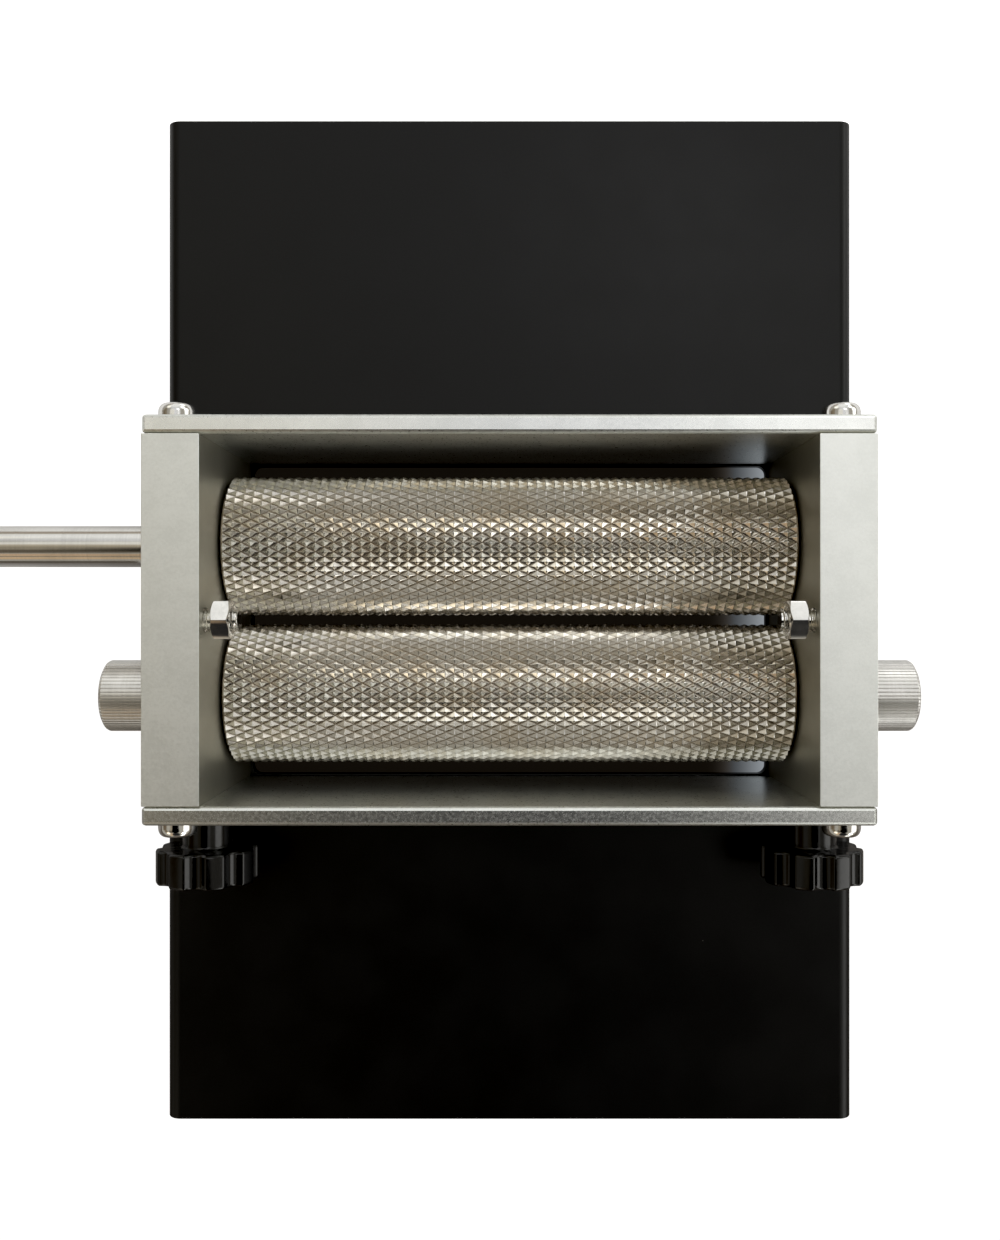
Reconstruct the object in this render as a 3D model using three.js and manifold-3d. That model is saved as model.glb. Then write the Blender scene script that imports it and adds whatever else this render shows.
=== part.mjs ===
// A two-roller grain mill: two diamond-knurled steel rollers side by side in a frame of four aluminium plates,
// which stands on a folded sheet-steel base with a discharge opening under the rollers.
// The rear roller is pressed on the drive shaft. The axle of the front one runs in two eccentric adjusters,
// whose knurled ends are turned by hand to set the gap, and a star-knob screw at each side clamps its adjuster.
//
// Millimetres, +Z up, +Y to the rear, +X to the right seen from the front. Each piece is placed in the mill's own
// axes, whose X and Y zero is the middle of the frame, and the whole is then centred over its bounding box.
import * as THREE from "three";
import { mergeVertices } from "three/addons/utils/BufferGeometryUtils.js";
import Module from "manifold-3d";

const wasm = await Module();
wasm.setup();

// ---- Driving dimensions ----

// Frame of four plates.
const INNER_WIDTH = 128;
const INNER_DEPTH = 77;
const FRAME_HEIGHT = 48;
const SIDE_THICKNESS = 12;
const COVER_THICKNESS = 4;

// Folded base.
const BASE_WIDTH = 170;
const BASE_LENGTH = 247;
const BASE_HEIGHT = 20;
const SHEET = 2.5;
const BEND_INSIDE_RADIUS = 1;
const OPENING_MARGIN = 0.5; // how far the sheet stands in from the frame's inner faces
const OPENING_CORNER_RADIUS = 2;

// Rollers.
const ROLLER_LENGTH = 127;
const ROLLER_RADIUS = 16.1; // over the crests of the knurl
const ROLLER_CHAMFER = 0.7;
const AXIS_HEIGHT = 18; // above the foot of the frame
const DRIVE_AXIS_Y = 17;
const SHAFT_RADIUS = 4.7625;
const SHAFT_REACH = 62; // beyond the left side plate
const SHAFT_FLAT_LENGTH = 18;
const SHAFT_FLAT_DEPTH = 0.7;
const SHAFT_CHAMFER = 0.8;
const AXLE_RADIUS = 4; // of the adjustable roller
const AXLE_INSET = 1; // of the axle's ends from the side plates' outer faces

// Eccentric adjusters.
const ADJUSTER_AXIS_Y = -17.5;
const ECCENTRICITY = 1.6;
const ECCENTRIC_REST_Y = 0.5; // how far the axle lies behind the adjuster's own axis at rest
const ADJUSTER_RADIUS = 7.94;
const ADJUSTER_KNOB_RADIUS = 8.2;
const ADJUSTER_KNOB_LENGTH = 16.6;
const ADJUSTER_CHAMFER = 0.85;
const CLAMP_GROOVE_WIDTH = 5.2;
const CLAMP_GROOVE_DEPTH = 0.5;

// Plain bushings.
const DRIVE_BUSHING_RADIUS = 6.35;
const ADJUSTER_BUSHING_RADIUS = 5;

// Clamp screws with star knobs.
const CLAMP_STUD_RADIUS = 2.5;
const KNOB_GAP = 0.5; // between the cover and the knob's hub
const KNOB_HUB_RADIUS = 5.6;
const KNOB_HUB_LENGTH = 9.4;
const KNOB_RADIUS = 11.8;
const KNOB_HEAD_LENGTH = 8;
const KNOB_LOBES = 8;
const KNOB_GROOVE_RADIUS = 2.6;
const KNOB_GROOVE_CENTRE = 12.6;
const KNOB_EDGE = 0.4; // the bevel round the head

// Fasteners.
const SCREW_RADIUS = 2;
const SCREW_REACH = 12; // into the side plate
const SCREW_HEAD_RADIUS = 4.05;
const SCREW_HEAD_HEIGHT = 3;
const SCREW_HEAD_RIM = 0.7;
const SCREW_SOCKET_FLATS = 2.5;
const SCREW_SOCKET_DEPTH = 1.4;
const SCREW_INSET = 6; // of the cover's screws from the frame's top and foot
const BASE_SCREW_Y = 23;
const BASE_SCREW_REACH = 7;
const HOPPER_STUD_RADIUS = 2.5;
const HOPPER_STUD_INSET = 5; // below the frame's top
const HOPPER_STUD_REACH = 7.2;
const HOPPER_STUD_DEPTH = 8;
const NUT_FLATS = 8;
const NUT_THICKNESS = 3.9;
const NUT_STANDOFF = 1.9; // between the side plate and the nut

// Clearances.
const RUNNING = 0.06; // of a part that turns in a bore
const SEATED = 0.05; // of a part that is pressed or screwed in
const APART = 0.3; // between faces that pass each other
const SCREW_CLEARANCE = 0.3; // of a screw in a plate that it passes through

// ---- Derived places ----

const LEFT = -1;
const RIGHT = 1;
const FRONT = -1;
const REAR = 1;
const innerX = INNER_WIDTH / 2;
const outerX = innerX + SIDE_THICKNESS;
const middleX = innerX + SIDE_THICKNESS / 2;
const innerY = INNER_DEPTH / 2;
const outerY = innerY + COVER_THICKNESS;
const footZ = BASE_HEIGHT;
const topZ = footZ + FRAME_HEIGHT;
const axisZ = footZ + AXIS_HEIGHT;
const rollerX = ROLLER_LENGTH / 2;
const shaftEndX = -(outerX + SHAFT_REACH);
const idleY = ADJUSTER_AXIS_Y + ECCENTRIC_REST_Y;
const idleZ = axisZ - Math.sqrt(ECCENTRICITY ** 2 - ECCENTRIC_REST_Y ** 2);
const axleX = outerX - AXLE_INSET;
const adjusterKnobX = outerX + APART;
const adjusterEndX = adjusterKnobX + ADJUSTER_KNOB_LENGTH;
const clampY = ADJUSTER_AXIS_Y - (ADJUSTER_RADIUS - CLAMP_GROOVE_DEPTH) - APART; // of the stud's tip
const knobY = -(outerY + KNOB_GAP);
const hopperStudZ = topZ - HOPPER_STUD_INSET;

// Sides of large, middling and small turned parts and bores.
const FINE = 48;
const MEDIUM = 36;
const SMALL = 20;

// ---- Materials ----

const finish = (color, roughness, metalness) => new THREE.MeshStandardMaterial({ color, roughness, metalness });
const anodised = finish(0xc3c5bd, 0.45, 0.85);
const rollerSteel = finish(0xa79c8c, 0.28, 1);
const turnedAluminium = finish(0xc4bfb4, 0.35, 1);
const blackPaint = finish(0x121213, 0.5, 0.1);
const blackPlastic = finish(0x0b0b0b, 0.3, 0);
const platedSteel = finish(0xc9c6bd, 0.22, 1);
const bronze = finish(0xa37b43, 0.4, 1);

// ---- Shape helpers ----

// A closed geometry as a solid that can be joined and cut.
function solidOf(geometry) {
  const bare = geometry.clone();
  bare.deleteAttribute("normal");
  bare.deleteAttribute("uv");
  const merged = mergeVertices(bare, 1e-4);
  const corners = merged.index.array;
  const triangles = [];
  for (let i = 0; i < corners.length; i += 3) {
    const [a, b, c] = corners.slice(i, i + 3);
    if (a !== b && b !== c && a !== c) triangles.push(a, b, c);
  }
  return new wasm.Manifold(
    new wasm.Mesh({
      numProp: 3,
      vertProperties: new Float32Array(merged.attributes.position.array),
      triVerts: new Uint32Array(triangles),
    }),
  );
}

function geometryOf(solid) {
  const mesh = solid.getMesh();
  return new THREE.BufferGeometry()
    .setAttribute("position", new THREE.BufferAttribute(mesh.vertProperties, 3))
    .setIndex(new THREE.BufferAttribute(mesh.triVerts, 1));
}

// A block between two corners.
function block(low, high) {
  const size = high.map((value, i) => value - low[i]);
  const centre = high.map((value, i) => (value + low[i]) / 2);
  return solidOf(new THREE.BoxGeometry(...size).translate(...centre));
}

// Turns a geometry made along +Y to run along a direction, and puts its start at a place.
function aim(geometry, direction, place) {
  const turn = new THREE.Quaternion().setFromUnitVectors(
    new THREE.Vector3(0, 1, 0),
    new THREE.Vector3(...direction),
  );
  return geometry.applyQuaternion(turn).translate(...place);
}

// A cylinder that starts at a place and runs along a direction.
function rod(radius, length, direction, place, sides) {
  const geometry = new THREE.CylinderGeometry(radius, radius, length, sides);
  return solidOf(aim(geometry.translate(0, length / 2, 0), direction, place));
}

// A turned piece: its profile is [radius, distance along] from the start to the end, on the axis at both.
function turned(profile, direction, place, sides) {
  const points = profile.map(([radius, along]) => new THREE.Vector2(radius, along));
  return solidOf(aim(new THREE.LatheGeometry(points, sides), direction, place));
}

// A flat outline extruded from a place along a direction.
function extruded(shape, length, direction, place, bevel = 0) {
  const geometry = new THREE.ExtrudeGeometry(shape, {
    depth: length - 2 * bevel,
    curveSegments: 3,
    bevelEnabled: bevel > 0,
    bevelThickness: bevel,
    bevelSize: bevel,
    bevelOffset: -bevel,
    bevelSegments: 1,
  });
  geometry.translate(0, 0, bevel).rotateX(-Math.PI / 2);
  return solidOf(aim(geometry, direction, place));
}

// A hexagonal prism, measured across its flats.
function hexPrism(flats, length, direction, place) {
  return rod(flats / Math.sqrt(3), length, direction, place, 6);
}

const pieces = new THREE.Group();

function add(name, solid, material) {
  const mesh = new THREE.Mesh(geometryOf(solid), material);
  mesh.name = name;
  pieces.add(mesh);
}

// ---- Base ----

// The folded sheet's section, a channel open at the bottom, in X and Z.
function channelSection() {
  const half = BASE_WIDTH / 2;
  const outside = BEND_INSIDE_RADIUS + SHEET;
  const under = BASE_HEIGHT - SHEET;
  const shape = new THREE.Shape();
  shape.moveTo(half - SHEET, 0);
  shape.lineTo(half, 0);
  shape.absarc(half - outside, BASE_HEIGHT - outside, outside, 0, Math.PI / 2);
  shape.absarc(outside - half, BASE_HEIGHT - outside, outside, Math.PI / 2, Math.PI);
  shape.lineTo(-half, 0);
  shape.lineTo(SHEET - half, 0);
  shape.absarc(outside - half, under - BEND_INSIDE_RADIUS, BEND_INSIDE_RADIUS, Math.PI, Math.PI / 2, true);
  shape.absarc(half - outside, under - BEND_INSIDE_RADIUS, BEND_INSIDE_RADIUS, Math.PI / 2, 0, true);
  shape.closePath();
  return shape;
}

function roundedRectangle(halfX, halfY, radius) {
  const shape = new THREE.Shape();
  shape.absarc(halfX - radius, halfY - radius, radius, 0, Math.PI / 2);
  shape.absarc(radius - halfX, halfY - radius, radius, Math.PI / 2, Math.PI);
  shape.absarc(radius - halfX, radius - halfY, radius, Math.PI, 1.5 * Math.PI);
  shape.absarc(halfX - radius, radius - halfY, radius, 1.5 * Math.PI, 2 * Math.PI);
  shape.closePath();
  return shape;
}

function basePlate() {
  const channel = new THREE.ExtrudeGeometry(channelSection(), {
    depth: BASE_LENGTH,
    curveSegments: 5,
    bevelEnabled: false,
  });
  channel.rotateX(Math.PI / 2).translate(0, BASE_LENGTH / 2, 0);
  const opening = new THREE.ExtrudeGeometry(
    roundedRectangle(innerX - OPENING_MARGIN, innerY - OPENING_MARGIN, OPENING_CORNER_RADIUS),
    { depth: 3 * SHEET, curveSegments: 5, bevelEnabled: false },
  );
  opening.translate(0, 0, BASE_HEIGHT - 2 * SHEET);
  let plate = solidOf(channel).subtract(solidOf(opening));
  for (const side of [LEFT, RIGHT]) {
    for (const end of [FRONT, REAR]) {
      const place = [side * middleX, end * BASE_SCREW_Y, BASE_HEIGHT - 2 * SHEET];
      const hole = rod(SCREW_RADIUS + SCREW_CLEARANCE, 3 * SHEET, [0, 0, 1], place, SMALL);
      plate = plate.subtract(hole);
    }
  }
  return plate;
}

// ---- Frame plates ----

function sidePlate(side) {
  const x = [side * innerX, side * outerX].sort((a, b) => a - b);
  const inward = [-side, 0, 0];
  const beyond = side * (outerX + 1);
  const through = SIDE_THICKNESS + 2;
  const tapped = SCREW_RADIUS + SEATED;
  let plate = block([x[0], -innerY, footZ], [x[1], innerY, topZ]);
  plate = plate
    .subtract(rod(DRIVE_BUSHING_RADIUS + SEATED, through, inward, [beyond, DRIVE_AXIS_Y, axisZ], MEDIUM))
    .subtract(rod(ADJUSTER_RADIUS + RUNNING, through, inward, [beyond, ADJUSTER_AXIS_Y, axisZ], FINE));
  for (const end of [FRONT, REAR]) {
    for (const z of [footZ + SCREW_INSET, topZ - SCREW_INSET]) {
      const place = [side * middleX, end * (innerY + 1), z];
      plate = plate.subtract(rod(tapped, SCREW_REACH + 2, [0, -end, 0], place, SMALL));
    }
    const place = [side * middleX, end * BASE_SCREW_Y, footZ - 1];
    plate = plate.subtract(rod(tapped, BASE_SCREW_REACH + 2, [0, 0, 1], place, SMALL));
  }
  const clampHole = rod(
    CLAMP_STUD_RADIUS + SEATED,
    innerY + 1 + ADJUSTER_AXIS_Y,
    [0, 1, 0],
    [side * middleX, -(innerY + 1), axisZ],
    SMALL,
  );
  const studHole = rod(
    HOPPER_STUD_RADIUS + SEATED,
    HOPPER_STUD_DEPTH + 1.5,
    [side, 0, 0],
    [side * (innerX - 1), 0, hopperStudZ],
    SMALL,
  );
  return plate.subtract(clampHole).subtract(studHole);
}

// The front or rear cover, which the side plates are screwed to.
function coverPlate(end) {
  const y = [end * innerY, end * outerY].sort((a, b) => a - b);
  let plate = block([-outerX, y[0], footZ], [outerX, y[1], topZ]);
  for (const side of [LEFT, RIGHT]) {
    const drill = (radius, z) =>
      rod(radius, COVER_THICKNESS + 2, [0, -end, 0], [side * middleX, end * (outerY + 1), z], SMALL);
    plate = plate
      .subtract(drill(SCREW_RADIUS + SCREW_CLEARANCE, footZ + SCREW_INSET))
      .subtract(drill(SCREW_RADIUS + SCREW_CLEARANCE, topZ - SCREW_INSET));
    if (end === FRONT) plate = plate.subtract(drill(CLAMP_STUD_RADIUS + SCREW_CLEARANCE, axisZ));
  }
  return plate;
}

// ---- Rollers and bushings ----

// A roller's body, bored for the shaft that it is pressed on.
function roller(boreRadius, y, z) {
  const edge = ROLLER_RADIUS - ROLLER_CHAMFER;
  const body = turned(
    [
      [0, 0],
      [edge, 0],
      [ROLLER_RADIUS, ROLLER_CHAMFER],
      [ROLLER_RADIUS, ROLLER_LENGTH - ROLLER_CHAMFER],
      [edge, ROLLER_LENGTH],
      [0, ROLLER_LENGTH],
    ],
    [1, 0, 0],
    [-rollerX, y, z],
    FINE,
  );
  return body.subtract(rod(boreRadius + SEATED, ROLLER_LENGTH + 2, [1, 0, 0], [-rollerX - 1, y, z], MEDIUM));
}

// The shaft has three flats at its driven end, for a drill's chuck.
function driveShaft() {
  const length = outerX - APART - shaftEndX;
  let shaft = turned(
    [
      [0, 0],
      [SHAFT_RADIUS - SHAFT_CHAMFER, 0],
      [SHAFT_RADIUS, SHAFT_CHAMFER],
      [SHAFT_RADIUS, length],
      [0, length],
    ],
    [1, 0, 0],
    [shaftEndX, DRIVE_AXIS_Y, axisZ],
    MEDIUM,
  );
  for (let i = 0; i < 3; i++) {
    const flat = new THREE.BoxGeometry(SHAFT_FLAT_LENGTH * 2, 4 * SHAFT_RADIUS, 2 * SHAFT_RADIUS);
    flat.translate(0, 0, 2 * SHAFT_RADIUS - SHAFT_FLAT_DEPTH).rotateX((i * 2 * Math.PI) / 3);
    shaft = shaft.subtract(solidOf(flat.translate(shaftEndX, DRIVE_AXIS_Y, axisZ)));
  }
  return shaft;
}

// A sleeve in a side plate or an adjuster, just short of both of the plate's faces.
function bushing(side, outer, inner, y, z) {
  const length = SIDE_THICKNESS - 2 * APART;
  const start = [side * (innerX + APART), y, z];
  const sleeve = rod(outer, length, [side, 0, 0], start, MEDIUM);
  const bore = rod(inner, length + 2, [side, 0, 0], [start[0] - side, y, z], MEDIUM);
  return sleeve.subtract(bore);
}

// ---- Eccentric adjusters ----

// A turned piece: the barrel in the side plate, with a shallow groove for the clamp stud, and the end that is
// turned by hand. The axle's bushing sits in a bore off the barrel's axis.
function adjuster(side) {
  const outward = [side, 0, 0];
  const barrelX = innerX + APART;
  const shoulder = adjusterKnobX - barrelX;
  const grooveStart = middleX - CLAMP_GROOVE_WIDTH / 2 - barrelX;
  const grooveEnd = grooveStart + CLAMP_GROOVE_WIDTH;
  const deep = ADJUSTER_RADIUS - CLAMP_GROOVE_DEPTH;
  const body = turned(
    [
      [0, 0],
      [ADJUSTER_RADIUS, 0],
      [ADJUSTER_RADIUS, grooveStart],
      [deep, grooveStart + CLAMP_GROOVE_DEPTH],
      [deep, grooveEnd - CLAMP_GROOVE_DEPTH],
      [ADJUSTER_RADIUS, grooveEnd],
      [ADJUSTER_RADIUS, shoulder],
      [ADJUSTER_KNOB_RADIUS, shoulder],
      [ADJUSTER_KNOB_RADIUS, shoulder + ADJUSTER_KNOB_LENGTH - ADJUSTER_CHAMFER],
      [ADJUSTER_KNOB_RADIUS - ADJUSTER_CHAMFER, shoulder + ADJUSTER_KNOB_LENGTH],
      [0, shoulder + ADJUSTER_KNOB_LENGTH],
    ],
    outward,
    [side * barrelX, ADJUSTER_AXIS_Y, axisZ],
    FINE,
  );
  const boreStart = [side * (barrelX - 1), idleY, idleZ];
  return body.subtract(rod(ADJUSTER_BUSHING_RADIUS + SEATED, SIDE_THICKNESS + 1, outward, boreStart, MEDIUM));
}

// ---- Clamp screws ----

// Eight lobes: arcs of the knob's circle between round hollows.
function starOutline() {
  const pitch = (2 * Math.PI) / KNOB_LOBES;
  const shape = new THREE.Shape();
  // Where a hollow's circle crosses the knob's circle, seen from the knob's axis and from the hollow's.
  const [r, c, g] = [KNOB_RADIUS, KNOB_GROOVE_CENTRE, KNOB_GROOVE_RADIUS];
  const atKnob = Math.acos((r * r + c * c - g * g) / (2 * r * c));
  const atGroove = Math.PI - Math.acos((g * g + c * c - r * r) / (2 * g * c));
  for (let i = 0; i < KNOB_LOBES; i++) {
    const start = i * pitch + atKnob;
    const hollow = (i + 1) * pitch;
    if (i === 0) shape.moveTo(r * Math.cos(start), r * Math.sin(start));
    shape.absarc(0, 0, r, start, hollow - atKnob);
    shape.absarc(
      c * Math.cos(hollow),
      c * Math.sin(hollow),
      g,
      hollow - atGroove,
      hollow + atGroove,
      true,
    );
  }
  shape.closePath();
  return shape;
}

function starKnob(side) {
  const forward = [0, -1, 0];
  const x = side * middleX;
  const hub = turned(
    [
      [0, 0],
      [KNOB_HUB_RADIUS - 0.3, 0],
      [KNOB_HUB_RADIUS, 0.3],
      [KNOB_HUB_RADIUS, KNOB_HUB_LENGTH + 1],
      [0, KNOB_HUB_LENGTH + 1],
    ],
    forward,
    [x, knobY, axisZ],
    SMALL,
  );
  const headPlace = [x, knobY - KNOB_HUB_LENGTH, axisZ];
  const head = extruded(starOutline(), KNOB_HEAD_LENGTH, forward, headPlace, KNOB_EDGE);
  const socketReach = KNOB_HUB_LENGTH + APART;
  const socket = rod(CLAMP_STUD_RADIUS + SEATED, socketReach + 1, forward, [x, knobY + 1, axisZ], SMALL);
  return hub.add(head).subtract(socket);
}

function clampStud(side) {
  const length = clampY - (knobY - KNOB_HUB_LENGTH);
  return rod(CLAMP_STUD_RADIUS, length, [0, -1, 0], [side * middleX, clampY, axisZ], SMALL);
}

// ---- Fasteners ----

// A round-headed screw with a hexagon socket, driven along a direction with its head's seat at a place.
function screw(reach, direction, place) {
  const back = direction.map((value) => -value);
  const rim = SCREW_HEAD_RADIUS;
  const crown = 0.5 * rim;
  const profile = [[0, -reach], [SCREW_RADIUS, -reach], [SCREW_RADIUS, 0], [rim, 0], [rim, SCREW_HEAD_RIM]];
  // The dome is a quarter ellipse from the rim to the flat crown.
  const steps = 3;
  for (let i = 1; i <= steps; i++) {
    const angle = (i * Math.PI) / 2 / steps;
    profile.push([
      crown + (rim - crown) * Math.cos(angle),
      SCREW_HEAD_RIM + (SCREW_HEAD_HEIGHT - SCREW_HEAD_RIM) * Math.sin(angle),
    ]);
  }
  profile.push([0, SCREW_HEAD_HEIGHT]);
  const socketPlace = place.map((value, i) => value + back[i] * (SCREW_HEAD_HEIGHT + 1));
  const socket = hexPrism(SCREW_SOCKET_FLATS, SCREW_SOCKET_DEPTH + 1, direction, socketPlace);
  return turned(profile, back, place, SMALL).subtract(socket);
}

function hopperStud(side) {
  const inward = [-side, 0, 0];
  const start = [side * (innerX + HOPPER_STUD_DEPTH), 0, hopperStudZ];
  return rod(HOPPER_STUD_RADIUS, HOPPER_STUD_DEPTH + HOPPER_STUD_REACH, inward, start, SMALL);
}

// A nut with one corner up, so that a flat faces each roller.
function hopperNut(side) {
  const inward = [-side, 0, 0];
  const start = [side * (innerX - NUT_STANDOFF), 0, hopperStudZ];
  const threadStart = [start[0] + side, 0, hopperStudZ];
  const thread = rod(HOPPER_STUD_RADIUS + SEATED, NUT_THICKNESS + 2, inward, threadStart, SMALL);
  return hexPrism(NUT_FLATS, NUT_THICKNESS, inward, start).subtract(thread);
}

// ---- Assembly ----

const sideName = (side) => (side === LEFT ? "left" : "right");
const endName = (end) => (end === FRONT ? "front" : "rear");

add("base_plate", basePlate(), blackPaint);
for (const end of [FRONT, REAR]) add(`${endName(end)}_cover`, coverPlate(end), anodised);

for (const side of [LEFT, RIGHT]) {
  const name = sideName(side);
  add(`${name}_side_plate`, sidePlate(side), anodised);
  add(
    `${name}_drive_bushing`,
    bushing(side, DRIVE_BUSHING_RADIUS, SHAFT_RADIUS + RUNNING, DRIVE_AXIS_Y, axisZ),
    bronze,
  );
  add(
    `${name}_adjuster_bushing`,
    bushing(side, ADJUSTER_BUSHING_RADIUS, AXLE_RADIUS + RUNNING, idleY, idleZ),
    bronze,
  );
  add(`${name}_adjuster`, adjuster(side), turnedAluminium);
  add(`${name}_clamp_knob`, starKnob(side), blackPlastic);
  add(`${name}_clamp_stud`, clampStud(side), platedSteel);
  add(`${name}_hopper_stud`, hopperStud(side), platedSteel);
  add(`${name}_hopper_nut`, hopperNut(side), platedSteel);
  for (const end of [FRONT, REAR]) {
    const x = side * middleX;
    const y = end * outerY;
    const corner = `${endName(end)}_${name}`;
    const inward = [0, -end, 0];
    const reach = COVER_THICKNESS + SCREW_REACH;
    add(`cover_screw_${corner}_upper`, screw(reach, inward, [x, y, topZ - SCREW_INSET]), platedSteel);
    add(`cover_screw_${corner}_lower`, screw(reach, inward, [x, y, footZ + SCREW_INSET]), platedSteel);
    const under = [x, end * BASE_SCREW_Y, BASE_HEIGHT - SHEET];
    add(`base_screw_${corner}`, screw(SHEET + BASE_SCREW_REACH, [0, 0, 1], under), platedSteel);
  }
}

add("drive_roller", roller(SHAFT_RADIUS, DRIVE_AXIS_Y, axisZ), rollerSteel);
add("drive_shaft", driveShaft(), platedSteel);
add("adjustable_roller", roller(AXLE_RADIUS, idleY, idleZ), rollerSteel);
add("adjustable_axle", rod(AXLE_RADIUS, 2 * axleX, [1, 0, 0], [-axleX, idleY, idleZ], MEDIUM), platedSteel);

// The shaft reaches further to the left than the adjuster does to the right, so the mill is moved to put
// the origin under the middle of its bounding box.
pieces.position.x = -(shaftEndX + adjusterEndX) / 2;

const mill = new THREE.Group();
mill.add(pieces);

export default mill;
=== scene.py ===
import math
import random

import bmesh
import bpy
from mathutils import Matrix, Vector

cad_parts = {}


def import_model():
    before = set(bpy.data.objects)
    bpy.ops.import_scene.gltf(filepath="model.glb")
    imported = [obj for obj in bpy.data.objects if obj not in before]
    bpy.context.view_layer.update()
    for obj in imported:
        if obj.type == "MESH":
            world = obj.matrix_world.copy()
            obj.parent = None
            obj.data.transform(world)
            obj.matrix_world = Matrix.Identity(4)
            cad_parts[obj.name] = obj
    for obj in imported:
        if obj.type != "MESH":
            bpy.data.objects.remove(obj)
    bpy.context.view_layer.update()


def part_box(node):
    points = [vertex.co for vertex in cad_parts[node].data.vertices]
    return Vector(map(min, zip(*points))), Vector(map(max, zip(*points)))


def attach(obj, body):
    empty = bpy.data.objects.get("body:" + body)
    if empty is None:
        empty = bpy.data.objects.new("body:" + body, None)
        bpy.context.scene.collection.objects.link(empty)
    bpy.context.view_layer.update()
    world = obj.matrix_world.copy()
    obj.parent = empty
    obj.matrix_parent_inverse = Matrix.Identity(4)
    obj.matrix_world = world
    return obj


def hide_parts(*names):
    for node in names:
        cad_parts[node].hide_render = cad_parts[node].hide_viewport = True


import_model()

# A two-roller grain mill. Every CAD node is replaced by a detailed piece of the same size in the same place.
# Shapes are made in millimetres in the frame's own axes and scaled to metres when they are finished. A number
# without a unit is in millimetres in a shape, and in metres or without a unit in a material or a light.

MM = 0.001
TAU = 2 * math.pi
X, Y, Z = Vector((1, 0, 0)), Vector((0, 1, 0)), Vector((0, 0, 1))
LEFT, RIGHT, FRONT, REAR = -1, 1, -1, 1
SIDES = {"left": LEFT, "right": RIGHT}
ENDS = {"front": FRONT, "rear": REAR}


def extent(node):
    """The lowest and highest corners of a CAD node, in millimetres."""
    low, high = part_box(node)
    return low / MM, high / MM


def middle(node):
    low, high = extent(node)
    return (low + high) / 2


# ---- Places that the pieces share ----

PLATE = {name: extent(f"{name}_side_plate") for name in SIDES}
COVER = {name: extent(f"{name}_cover") for name in ENDS}
BASE_LOW, BASE_HIGH = extent("base_plate")
CENTRE_X = (PLATE["left"][0].x + PLATE["right"][1].x) / 2
TOP_Z = PLATE["left"][1].z
DRIVE = middle("drive_roller")
IDLE = middle("adjustable_roller")
ADJUSTER = middle("left_adjuster")

# ---- Shape helpers ----

MERGED = 1e-4  # points closer than this are one point
IN_PLANE = 1e-3  # how near a plane an edge's ends lie
FLAT_TURN = 0.002  # radians between faces that count as one flat face
SHARP_TURN = 32  # degrees between faces that makes an edge sharp
STRAIGHT_EDGE = 15  # an edge longer than this is a plate's own edge, not a piece of a hole's rim
CORNER_SHARE = 0.45  # of a line that rounding its corner may use up

def linked(name, mesh):
    obj = bpy.data.objects.new(name, mesh)
    bpy.context.scene.collection.objects.link(obj)
    return obj


def solid(name, points, faces):
    """A closed mesh with its faces turned outward."""
    mesh = bpy.data.meshes.new(name)
    mesh.from_pydata([tuple(p) for p in points], [], faces)
    shape = bmesh.new()
    shape.from_mesh(mesh)
    bmesh.ops.remove_doubles(shape, verts=shape.verts, dist=MERGED)
    bmesh.ops.dissolve_degenerate(shape, edges=shape.edges, dist=MERGED)
    bmesh.ops.recalc_face_normals(shape, faces=shape.faces)
    shape.to_mesh(mesh)
    shape.free()
    return linked(name, mesh)


def toward(direction, place):
    """Turns +Z to a direction and moves the origin to a place."""
    return Matrix.Translation(place) @ Z.rotation_difference(direction).to_matrix().to_4x4()


def loft(name, rings, direction, place, ring_closed=False):
    """Joins rings of (across, up, along) points. The ends are capped, or joined to each other."""
    turn = toward(direction, place)
    count = len(rings[0])
    points = [turn @ Vector(p) for ring in rings for p in ring]
    faces = []
    spans = len(rings) if ring_closed else len(rings) - 1
    for r in range(spans):
        a, b = r * count, (r + 1) % len(rings) * count
        for i in range(count):
            j = (i + 1) % count
            faces.append((a + i, a + j, b + j, b + i))
    if not ring_closed:
        faces.append(tuple(range(count)))
        faces.append(tuple(range((len(rings) - 1) * count, len(rings) * count)))
    return solid(name, points, faces)


def circle(radius, along, sides):
    return [
        (radius * math.cos(TAU * i / sides), radius * math.sin(TAU * i / sides), along)
        for i in range(sides)
    ]


def eased(profile, size, steps=3, closed=False):
    """A polyline with its corners rounded, by at most a size."""
    made = [] if closed else [profile[0]]
    count = len(profile)
    for i in range(0 if closed else 1, count if closed else count - 1):
        before, corner, after = (Vector(profile[(i + k) % count]) for k in (-1, 0, 1))
        back, on = before - corner, after - corner
        first = corner + back.normalized() * min(size, back.length * CORNER_SHARE)
        last = corner + on.normalized() * min(size, on.length * CORNER_SHARE)
        for s in range(steps + 1):
            t = s / steps
            made.append(tuple(first * (1 - t) ** 2 + corner * 2 * t * (1 - t) + last * t * t))
    if not closed:
        made.append(profile[-1])
    return made


def turned(name, profile, direction, place, sides=64, hollow=False):
    """A lathe piece. Its profile is [along, radius], and goes all the way round the wall of a hollow piece."""
    return loft(name, [circle(r, a, sides) for a, r in profile], direction, place, hollow)


def rod(radius, length, direction, place, sides=64):
    """A plain tool for cutting a hole."""
    return turned("tool", [(0, radius), (length, radius)], direction, place, sides)


def prism(name, outline, direction, place, length):
    return loft(name, [[(x, y, a) for x, y in outline] for a in (0, length)], direction, place)


def applied(obj):
    """Applies the modifiers of a piece."""
    graph = bpy.context.evaluated_depsgraph_get()
    mesh = bpy.data.meshes.new_from_object(obj.evaluated_get(graph))
    obj.modifiers.clear()
    obj.data = mesh


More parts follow.
